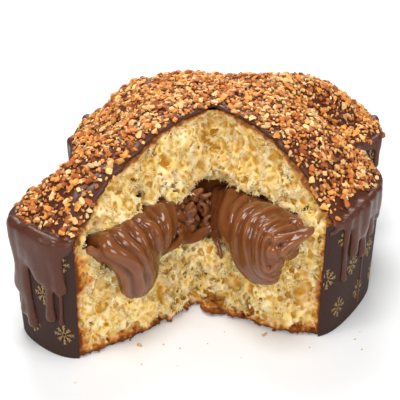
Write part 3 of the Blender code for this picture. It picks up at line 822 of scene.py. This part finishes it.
def add_mass(field, points, folds, deeper):
    """A soft body of cream with the folds as crests on its front."""
    lines = []
    for line, _ in folds:
        crest = spaced(line, 7)
        lines.append(np.vstack([crest[:1] + deeper, crest]))
    body = np.full(len(points), 1e3, np.float32)
    for first, second in zip(lines, lines[1:]):
        for share in (0.0, 0.5):
            line = first * (1.0 - share) + second * share + INWARDS * (BODY_RADIUS + 6.0)
            add_rope(body, points, line, BODY_RADIUS, 2.5, 0.85)
    for first, second in zip(lines, lines[1:]):
        for share in (0.36, 0.68):
            streak = first[1:] * (1.0 - share) + second[1:] * share
            add_rope(body, points, streak + INWARDS * (STREAK_RADIUS + 1.6), STREAK_RADIUS, 0.7, 0.7)
    for line, radius in folds:
        crest = spaced(line, 8)
        start = crest[:1] + 0.5 * deeper
        add_rope(body, points, np.vstack([start, crest]) + INWARDS * radius, radius, 0.5, 0.7)
    field[:] = smooth_min(field, body, 1.5)


def add_clutter(field, points):
    """Small curls of cream heaped between the two masses."""
    draw = np.random.default_rng(17)
    across = np.array([0.72, -0.69, 0.0])
    upwards = np.array([0.0, -0.2, 1.0])
    for _ in range(CLUTTER_COUNT):
        height = draw.uniform(46.0, 65.0)
        x, sway = draw.uniform(-55.0, -25.0), draw.uniform(-2, 2)
        heading, curl = draw.uniform(0.0, 2.0 * math.pi), draw.uniform(-1.0, 1.0)
        line = [np.array([x, 0.35 * height - 40.0 + sway, height])]
        for _ in range(3):
            step = math.cos(heading) * across + math.sin(heading) * upwards
            line.append(line[-1] + 2.2 * step)
            heading += curl
        add_rope(field, points, line, draw.uniform(1.4, 3.2), 0.8, 0.5)


def build_cream(finish):
    axes = [dense_axis(-126, 124, CREAM_STEP, -122, 0),
            dense_axis(-106, 97, CREAM_STEP, -106, 0),
            np.arange(27.0, 76.0, CREAM_STEP)]
    x, y = plan_grid(axes)
    share = rim_share(x, y)
    lower, upper = cut_fields(x, y)
    low, high = cream_floor(share, upper)
    z = axes[2][None, None, :]
    layer = np.maximum(low[:, :, None] + 0.3 - z, z - high[:, :, None] + 0.3) * 0.8
    layer = np.maximum(layer, np.maximum(4.0 - upper, CREAM_END - y)[:, :, None]).astype(np.float32)
    near = ((upper < 20.0) & (x < 4.0) & (y < 4.0))[:, :, None] & (z > 26.0)
    spots = np.argwhere(near)
    points = grid_places(axes, spots)
    bent = (points + 0.8 * noise_vectors(points, 12.0, 71)).astype(np.float32)
    spill = np.full(len(points), 1e3, np.float32)
    add_mass(spill, bent, LEFT_FOLDS, LEFT_DEEPER)
    add_mass(spill, bent, RIGHT_FOLDS, RIGHT_DEEPER)
    for line, radius in CURLS:
        add_rope(spill, bent, np.array(line) + INWARDS * radius, radius, 1.3)
    add_clutter(spill, bent)
    plan = spots[:, 0], spots[:, 1]
    ceiling = 68.8 + 6.0 * ramp(-upper[plan], 3.0, 14.0)
    spill = smooth_max(spill, points[:, 2] - ceiling, 1.5)
    crumb = np.maximum(-lower[plan], points[:, 2] - np.minimum(low[plan], LEDGE_TOP))
    spill = np.maximum(spill, -crumb - 1.5)
    field = layer
    field[near] = smooth_min(layer[near], spill.astype(np.float32), 1.5)
    vertices, quads = body_mesh(field, axes, 1)
    # How far each point lies in the creases, turned into painted shade and lighter crests by the finish
    crease_shade = 0.35 + 1.1 * hollows(vertices, quads, vertex_normals(vertices, quads), 16)
    return make_piece("spilled_cream", vertices, quads, finish, {"crease_shade": np.clip(crease_shade, 0.0, 1.0)})


# Glaze

# Runs of glaze: bearing in degrees, height of the tip, half width, thickness
GLAZE_RUNS = [
    (174.5, 30, 4.6, 2.6), (176.6, 17, 3.4, 2.4), (179.2, 12, 3.0, 2.6), (182.0, 50, 5.5, 2.8),
    (184.6, 44, 4.5, 2.8), (186.9, 22, 2.7, 2.6), (188.7, 21, 1.3, 1.7), (188.6, 41, 3.0, 2.7),
    (271.6, 31, 1.7, 2.0), (275.8, 44, 3.0, 2.6), (279.5, 52, 3.6, 2.5), (283.0, 38, 2.7, 2.4),
    (284.0, 6, 1.1, 1.0), (289.3, 46, 3.3, 1.8), (293.5, 52, 2.6, 1.6), (330.0, 53, 2.4, 1.6),
    (334.2, 51, 2.2, 1.6), (12.0, 36, 3.0, 1.7), (17.0, 49, 2.4, 1.6), (52.0, 45, 2.6, 2.0),
    (84.0, 28, 3.1, 2.5), (88.0, 47, 3.0, 2.2), (96.0, 45, 2.7, 2.4), (118.0, 51, 2.6, 2.2),
    (152.0, 40, 2.9, 2.4), (160.0, 49, 3.0, 2.3), (348.0, 47, 2.8, 1.7), (232.0, 50, 2.0, 2.0),
]


def length_at_bearing(degrees):
    """Length along the outline at a bearing from the origin."""
    bearing = math.radians(degrees)
    bearings = OUTLINE_BEARINGS[BEARING_ORDER]
    gap = np.abs((bearings - bearing + math.pi) % (2 * math.pi) - math.pi)
    return OUTLINE_STARTS[BEARING_ORDER[gap.argmin()]]


def wrapped(length):
    return (length + 0.5 * PERIMETER) % PERIMETER - 0.5 * PERIMETER


def skirt_edge(bearing):
    """Height of the lower edge of the glaze's skirt."""
    wave = np.sin(5.0 * bearing + 0.6) + 0.6 * np.sin(11.0 * bearing + 2.0)
    wave += 0.35 * np.sin(23.0 * bearing + 4.0)
    return RIM - 7.5 - 2.3 * wave


def glaze_top(x, y, wall):
    """Height of the glaze over the dome in plan, with its soft lumps."""
    lumps = 0.7 * plan_noise(x, y, 17.0, 81) + 0.6 * plan_noise(x, y, 7.5, 82)
    return loaf_top(x, y, wall) + lumps


def build_glaze(finish):
    axes = [np.arange(-139.0, 140.0, GLAZE_STEP), np.arange(-111.0, 112.0, GLAZE_STEP),
            np.arange(3.0, 114.0, GLAZE_STEP)]
    x, y = plan_grid(axes)
    wall, along = polygon_distance(x, y, OUTLINE)
    bearing = np.arctan2(y, x)
    top = glaze_top(x, y, wall)
    core = loaf_top(x, y, wall) - GLAZE_THICKNESS
    lower, upper = cut_fields(x, y)
    edge = skirt_edge(bearing)
    z = axes[2][None, None, :]
    flare = (FLARE * (1.0 - np.minimum(axes[2], RIM) / RIM))[None, None, :]
    outside = (wall[:, :, None] + flare).astype(np.float32)
    above = ((z - top[:, :, None]) * 0.82).astype(np.float32)
    flow = 1.1 + 0.9 * plan_noise(x, y, 6.5, 84) + 0.5 * plan_noise(x, y, 3.4, 85)
    shell = smooth_max(outside - flow[:, :, None], above, 6.0)
    crown = np.maximum(core + 1.5, RIM + 1.6)
    coat = smooth_max(outside - COAT_THICKNESS, (z - crown[:, :, None]) * 0.82, 2.0)
    shell = smooth_min(shell, coat, 1.0)
    shell = smooth_max(shell, edge[:, :, None] - z, 2.2)
    runs = np.full(shell.shape, 50.0, np.float32)
    for degrees, tip, half_width, thick in GLAZE_RUNS:
        centre = length_at_bearing(degrees)
        side = wrapped(along - centre)
        close = np.argwhere((np.abs(side) < half_width * 3.0 + 3.0) & (np.abs(wall) < 9.0))
        i, j = close[:, 0], close[:, 1]
        column = side[i, j][:, None] + 0.35 * half_width * np.sin(axes[2] / 9.0 + degrees)[None, :]
        height = axes[2][None, :]
        swell = 1.0 + 0.30 * np.exp(-((height - tip - half_width) / (1.8 * half_width)) ** 2)
        swell = swell + 0.35 * ramp(height, 48.0, 66.0)
        depth = outside[i, j, :] / (thick * swell)
        below = np.minimum(height - tip - half_width, 0.0) / (1.15 * half_width)
        beyond = np.maximum(height - 71.0, 0.0) / half_width
        body = np.sqrt((column / (half_width * swell)) ** 2 + depth ** 2 + below ** 2 + beyond ** 2)
        body = (body - 1.0) * min(half_width, thick)
        runs[i, j, :] = smooth_min(runs[i, j, :], body.astype(np.float32), 2.4)
    shell = smooth_min(shell, runs, 2.6)
    lining = outside + SKIRT_OVERLAP
    inner = np.maximum(lining, (z - core[:, :, None]) * 0.85)
    inner = np.where(z > RIM + 0.2, inner, lining)
    shell = np.maximum(shell, -inner)
    torn = -0.3 + 1.4 * two_noises(plan_points(x, y), 9.0, 83).reshape(x.shape)
    cut = np.where(z > 67.0, (upper + torn)[:, :, None], lower[:, :, None] + 0.9)
    shell = smooth_max(shell, -cut, 0.9).astype(np.float32)
    return make_piece("chocolate_glaze", *body_mesh(shell, axes, 1), finish)


# Nuts

NUT_KINDS = {
    "nuts_pale": ((0.94, 0.64, 0.30), (0.88, 0.45, 0.13), (0.42, 0.12, 0.03), 0.29),
    "nuts_golden": ((0.86, 0.39, 0.09), (0.72, 0.24, 0.04), (0.36, 0.08, 0.022), 0.33),
    "nuts_toasted": ((0.60, 0.18, 0.035), (0.40, 0.095, 0.020), (0.20, 0.045, 0.015), 0.26),
    "nuts_skins": ((0.26, 0.060, 0.022), (0.14, 0.032, 0.012), (0.09, 0.022, 0.009), 0.16),
}
NUT_STEP = 1.85
NUT_SEED = 5
NUT_TEMPLATES = 30
NUT_CORNERS = 15
NUT_PROPORTIONS = (1.65, 1.3, 1.05)


def nut_template(draw):
    """A chopped shape: the hull of scattered corners, clipped by a few flat cuts."""
    corners = unit(draw.normal(size=(NUT_CORNERS, 3)))
    for _ in range(3):
        normal = unit(draw.normal(size=3))
        beyond = np.maximum(corners @ normal - draw.uniform(0.3, 0.7), 0.0)
        corners = corners - beyond[:, None] * normal
    shape = bmesh.new()
    for corner in corners:
        shape.verts.new(corner)
    hull = bmesh.ops.convex_hull(shape, input=shape.verts[:])
    loose = [thing for thing in hull["geom_interior"] if isinstance(thing, bmesh.types.BMVert)]
    bmesh.ops.delete(shape, geom=loose, context="VERTS")
    bmesh.ops.triangulate(shape, faces=shape.faces[:])
    bmesh.ops.recalc_face_normals(shape, faces=shape.faces[:])
    shape.verts.index_update()
    faces = np.array([[vertex.index for vertex in face.verts] for face in shape.faces])
    vertices = np.array([vertex.co[:] for vertex in shape.verts])
    shape.free()
    return vertices, faces


def nut_density(x, y):
    """Chance that a place on the glaze is covered with nuts."""
    _, upper = cut_fields(x, y)
    patches = plan_noise(x, y, 9.0, 91)
    density = 0.98 - 0.25 * ramp(patches, 0.1, 0.8)
    edge = rim_share(x, y) - 0.05 * ramp(x, 60.0, 90.0)
    density *= 1.0 - ramp(edge, 0.93, 1.0)
    density *= ramp(upper + 2.0 * patches, -0.5, 2.5)
    density *= 0.15 + 0.85 * ramp(np.hypot(x + 132, y + 12), 4.0, 15.0)
    density *= 0.15 + 0.85 * ramp(np.hypot(x - 4, y + 102), 5.0, 16.0)
    return density


def nut_turn(draw):
    """A random turn about the upright with a small lean."""
    spin, lean = draw.uniform(0, 2 * math.pi), draw.uniform(-0.6, 0.6)
    return np.array(Euler((lean, 0.0, spin)).to_matrix())


def build_nuts():
    draw = np.random.default_rng(NUT_SEED)
    templates = [nut_template(draw) for _ in range(NUT_TEMPLATES)]
    side = np.arange(-136.0, 136.0, NUT_STEP)
    x, y = [grid.ravel() for grid in np.meshgrid(side, side)]
    x = x + draw.uniform(-0.7, 0.7, x.size) * NUT_STEP
    y = y + draw.uniform(-0.7, 0.7, y.size) * NUT_STEP
    keep = (np.abs(y) < 108) & (rim_share(x, y) < 1.0)
    x, y = x[keep], y[keep]
    keep = draw.random(x.size) < nut_density(x, y)
    x, y = x[keep], y[keep]

    def height_at(x, y):
        return glaze_top(x, y, polygon_distance(x, y, OUTLINE)[0])

    height = height_at(x, y)
    slope_x = (height_at(x + 0.5, y) - height) / 0.5
    slope_y = (height_at(x, y + 0.5) - height) / 0.5
    normal = unit(np.stack([-slope_x, -slope_y, np.ones(x.size)], axis=1))
    kinds = list(NUT_KINDS)
    chances = np.array([NUT_KINDS[kind][3] for kind in kinds])
    kind_of = draw.choice(len(kinds), x.size, p=chances / chances.sum())
    pieces = []
    for index, kind in enumerate(kinds):
        vertices, tones, triangles = [], [], []
        count = 0
        for number in np.flatnonzero(kind_of == index):
            template, faces = templates[draw.integers(NUT_TEMPLATES)]
            scale = np.clip(draw.lognormal(-0.06, 0.38), 0.42, 1.8) * np.array(NUT_PROPORTIONS)
            if kind == "nuts_skins":
                scale *= np.array([0.9, 0.9, 0.5])
            turned = (template * scale) @ nut_turn(draw).T
            up = normal[number]
            first = unit(np.cross([0.0, 1.0, 0.0], up))
            second = np.cross(up, first)
            centre = np.array([x[number], y[number], height[number]])
            centre += up * (scale[2] * draw.uniform(0.1, 0.9) + 0.5 * draw.random() ** 2)
            facing = template @ unit(draw.normal(size=3))
            peel = ramp(facing, 0.45, 0.6) * (draw.random() < 0.4)
            brown = np.clip(draw.uniform(0.0, 0.8) + 0.25 * facing, 0.0, 1.0)
            tones.append(np.stack([brown, np.full(len(facing), draw.random()), peel], axis=1))
            triangles.append(faces + count)
            vertices.append(centre + turned @ np.stack([first, second, up]))
            count += len(template)
        finish = nut_material(kind, *NUT_KINDS[kind][:3])
        pieces.append(make_piece(kind, np.vstack(vertices), np.vstack(triangles), finish,
                                 {"tone": np.vstack(tones)}, sharp_degrees=32))
    return pieces


# Paper case

RIB_PITCH = 1.5
RIB_DEPTH = 0.13
COLUMNS_PER_RIB = 4
WALL_LEVELS = (0.0, 0.8, 3.0, 10.0, 25.0, 45.0, 60.0, 68.0, RIM)
WALL_SHEET = 0.6
FOOT_FOLD = 0.45


def wall_point(length, height, outwards):
    """Points on the case's wall at lengths along the outline, heights and distances outwards."""
    length = np.mod(length, PERIMETER)
    index = np.clip(np.searchsorted(OUTLINE_STARTS, length, side="right") - 1, 0, len(OUTLINE) - 1)
    share = (length - OUTLINE_STARTS[index]) / (OUTLINE_STARTS[index + 1] - OUTLINE_STARTS[index])
    start, end = OUTLINE[index], OUTLINE[(index + 1) % len(OUTLINE)]
    share = share[:, None]
    tangents = unit(np.roll(OUTLINE, -1, axis=0) - np.roll(OUTLINE, 1, axis=0))
    tangent = tangents[index] * (1 - share) + tangents[(index + 1) % len(OUTLINE)] * share
    normal = unit(np.stack([tangent[:, 1], -tangent[:, 0]], axis=1))
    place = start + (end - start) * share
    place = place + normal * (outwards - FLARE * (1.0 - height / RIM))[:, None]
    return np.column_stack([place, height])


def case_ends():
    """Lengths along the outline where the case starts and ends at the broken quarter."""
    lengths = np.arange(0.0, PERIMETER, 0.5)
    places = wall_point(lengths, np.full(lengths.shape, 35.0), np.zeros(lengths.shape))
    removed, _ = polygon_distance(places[:, 0], places[:, 1], LOWER_CUT)
    open_lengths = lengths[removed < -1.0]
    return open_lengths[-1], open_lengths[0] + PERIMETER


def rib_relief(length):
    return RIB_DEPTH * np.sin(2 * math.pi * length / RIB_PITCH)


def build_case_wall(finish):
    start, end = case_ends()
    columns = int((end - start) / RIB_PITCH * COLUMNS_PER_RIB)
    length = np.linspace(start, end, columns)
    strips = []
    for inwards, levels in ((0.0, WALL_LEVELS), (WALL_SHEET, WALL_LEVELS[::-1])):
        for level in levels:
            fold = FOOT_FOLD if level == 0.0 and not inwards else 0.0
            out = rib_relief(length) - inwards - fold
            strips.append(wall_point(length, np.full(columns, level), out))
    rows = len(strips)
    vertices = np.vstack(strips)
    index = np.arange(columns - 1)
    quads = []
    for row in range(rows):
        low, high = row * columns, (row + 1) % rows * columns
        quads.append(np.stack([low + index, low + index + 1, high + index + 1, high + index], axis=1))
    half = rows // 2
    for column, flip in ((0, True), (columns - 1, False)):
        for row in range(half - 1):
            front, back = row * columns + column, (rows - 1 - row) * columns + column
            above, behind = (row + 1) * columns + column, (rows - 2 - row) * columns + column
            face = [front, back, behind, above]
            quads.append(np.array([face[::-1] if flip else face]))
    return make_piece("ribbed_case_wall", vertices, np.vstack(quads), finish, sharp_degrees=50)


def build_case_floor(finish):
    """The case's flat base, under the bread and cut back along the broken quarter."""
    spacing = 1.2
    axes = [np.arange(-134.0, 135.0, spacing), np.arange(-106.0, 107.0, spacing),
            np.array([-0.4, 0.2, 0.8, 1.4])]
    x, y = plan_grid(axes)
    wall, _ = polygon_distance(x, y, OUTLINE)
    lower, _ = cut_fields(x, y)
    plan = np.maximum(wall + FLARE + 0.4, 1.5 - lower)[:, :, None]
    z = axes[2][None, None, :]
    slab = np.maximum(plan, np.maximum(0.02 - z, z - 0.8))
    return make_piece("case_base", *surface_net(slab, axes), finish)


# Printed snowflakes: radius, spacing along a row, and rows by height and shift in spacings
SNOWFLAKE_RADIUS = 6.4
SNOWFLAKE_PITCH = 24.0
SNOWFLAKE_ROWS = ((15.0, 0.5), (37.0, 0.0), (59.0, 0.5))


def snowflake_strokes(radius):
    """Strokes of a plain eight-armed snowflake: pairs of plan points."""
    strokes = []
    for arm in range(8):
        angle = arm * math.pi / 4
        reach = radius if arm % 2 == 0 else 0.82 * radius
        direction = np.array([math.cos(angle), math.sin(angle)])
        strokes.append((0.14 * radius * direction, reach * direction))
        for share in (0.5, 0.76):
            root = share * reach * direction
            for turn in (-0.62, 0.62):
                twig = np.array([math.cos(angle + turn), math.sin(angle + turn)])
                strokes.append((root, root + 0.27 * radius * twig))
    return strokes


# Faces of a printed stroke: six stations of four corners, closed at both ends
STROKE_QUADS = [(low + 4 + corner, low + 4 + (corner + 1) % 4, low + (corner + 1) % 4, low + corner)
                for low in range(0, 20, 4) for corner in range(4)]
STROKE_QUADS = np.array(STROKE_QUADS + [(0, 1, 2, 3), (23, 22, 21, 20)])


def build_snowflakes(finish):
    """Small gold snowflakes printed on the wall in staggered rows."""
    start, end = case_ends()
    vertices, quads, count = [], [], 0
    width, lift = 0.26, 0.10
    for height, shift in SNOWFLAKE_ROWS:
        first_centre = start + 3.0 + shift * SNOWFLAKE_PITCH
        for centre in np.arange(first_centre, end - 2.0, SNOWFLAKE_PITCH):
            for first, last in snowflake_strokes(SNOWFLAKE_RADIUS):
                line = np.linspace(first, last, 6)
                across = unit(np.array([-(last - first)[1], (last - first)[0]]))
                taper = np.linspace(1.0, 0.55, 6)[:, None]
                if centre + line[:, 0].min() < start + width or centre + line[:, 0].max() > end - width:
                    continue
                sides = []
                for offset, out in ((-width, -0.05), (width, -0.05), (width, lift), (-width, lift)):
                    spot = line + across * offset * taper
                    length = centre + spot[:, 0]
                    relief = rib_relief(length) + out
                    sides.append(wall_point(length, height + spot[:, 1], relief))
                vertices.append(np.stack(sides, axis=1).reshape(-1, 3))
                quads.append(STROKE_QUADS + count)
                count += 24
    return make_piece("gold_snowflakes", np.vstack(vertices), np.vstack(quads), finish,
                      sharp_degrees=40)


# Stage

CAMERA_PLACE = (-0.41405, -0.42702, 0.33769)
CAMERA_TARGET = (0.0010, 0.01035, 0.041)
CAMERA_LENS = 99.0


def look_from(thing, place, target):
    thing.location = Vector(place)
    thing.rotation_euler = (Vector(target) - Vector(place)).to_track_quat("-Z", "Y").to_euler()


# Soft lights: place, size and power in watts
LIGHTS = {
    "top": ((-0.20, -0.12, 1.10), (0.4, 0.4), 6.5),
    "front": ((-0.85, -0.80, 0.62), (0.5, 0.5), 6.7),
    "left": ((-1.00, 0.25, 0.60), (0.2, 0.6), 2.5),
    "right": ((0.30, -1.00, 0.60), (0.2, 0.6), 3.5),
    "back": ((0.45, 0.60, 0.85), (0.7, 0.6), 8.0),
}
LIGHT_TARGET = (0.0, 0.0, 0.05)


def add_lights():
    for name, (place, size, watts) in LIGHTS.items():
        light = bpy.data.lights.new(name, "AREA")
        light.shape = "RECTANGLE"
        light.size, light.size_y = size
        light.energy = watts
        lamp = bpy.data.objects.new(name, light)
        bpy.context.scene.collection.objects.link(lamp)
        look_from(lamp, place, LIGHT_TARGET)


# Loose crumbs on the table: plan place and half length in millimetres
TABLE_CRUMBS = (
    (-90, -38, 1.9), (-33, -78, 1.7), (-137, -41, 0.6), (0, -115, 0.8), (-62, -62, 0.5),
    (-76, -55, 0.6), (-24, -103, 0.5), (-88, -66, 0.4), (-5, -124, 0.6), (-101, -52, 0.5),
    (-47, -60, 0.5), (-58, -84, 0.4), (-20, -90, 0.6), (8, -112, 0.4), (-80, -46, 0.7),
)


def build_table_crumbs(finish):
    draw = np.random.default_rng(9)
    vertices, triangles = [], []
    count = 0
    for x, y, size in TABLE_CRUMBS:
        shape, faces = nut_template(draw)
        vertices.append(shape * np.array([1.2, 1.0, 0.6]) * size + np.array([x, y, 0.45 * size]))
        triangles.append(faces + count)
        count += len(shape)
    tint = np.tile([0.35, 0.4, 0.05], (count, 1))
    make_piece("table_crumbs", np.vstack(vertices), np.vstack(triangles), finish,
                        {"mark": tint})


def build_stage():
    shape = bmesh.new()
    bmesh.ops.create_grid(shape, x_segments=1, y_segments=1, size=6.0)
    mesh = bpy.data.meshes.new("pale_floor")
    shape.to_mesh(mesh)
    shape.free()
    floor = bpy.data.objects.new("pale_floor", mesh)
    bpy.context.scene.collection.objects.link(floor)
    nodes = Nodes("pale_table")
    cloud = nodes.noise(60.0, 2.0)
    nodes.set(Base_Color=nodes.mix(cloud, (0.79, 0.79, 0.79), (0.81, 0.81, 0.81)), Roughness=0.6)
    nodes.set(Emission_Color=(1.0, 1.0, 1.0), Emission_Strength=0.10)
    mesh.materials.append(nodes.material)
    build_table_crumbs(crumb_material("loose_crumb", False))

    world = bpy.data.worlds.new("studio")
    world.use_nodes = True
    background = world.node_tree.nodes["Background"]
    background.inputs["Color"].default_value = (1.0, 1.0, 1.0, 1.0)
    background.inputs["Strength"].default_value = 0.14
    bpy.context.scene.world = world
    add_lights()

    camera_data = bpy.data.cameras.new("camera")
    camera_data.lens = CAMERA_LENS
    camera_data.sensor_width = 36.0
    camera_data.clip_start = 0.01
    camera = bpy.data.objects.new("camera", camera_data)
    bpy.context.scene.collection.objects.link(camera)
    look_from(camera, CAMERA_PLACE, CAMERA_TARGET)
    bpy.context.scene.camera = camera
    bpy.context.scene.view_settings.view_transform = "Standard"


def place(piece, slot, *nodes):
    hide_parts(*nodes)
    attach(piece, "root")


def build_looks():
    build_stage()
    for crumb in build_bread():
        place(crumb, "crumb", "bread")
    place(build_cream(cream_material()), "cream", "cream_filling")
    place(build_glaze(glaze_material()), "glaze", "glaze")
    for nuts in build_nuts():
        place(nuts, "glaze", "glaze")
    paper = paper_material()
    place(build_case_wall(paper), "paper", "paper_case")
    place(build_case_floor(paper), "paper", "paper_case")
    place(build_snowflakes(gold_material()), "paper", "paper_case")


build_looks()
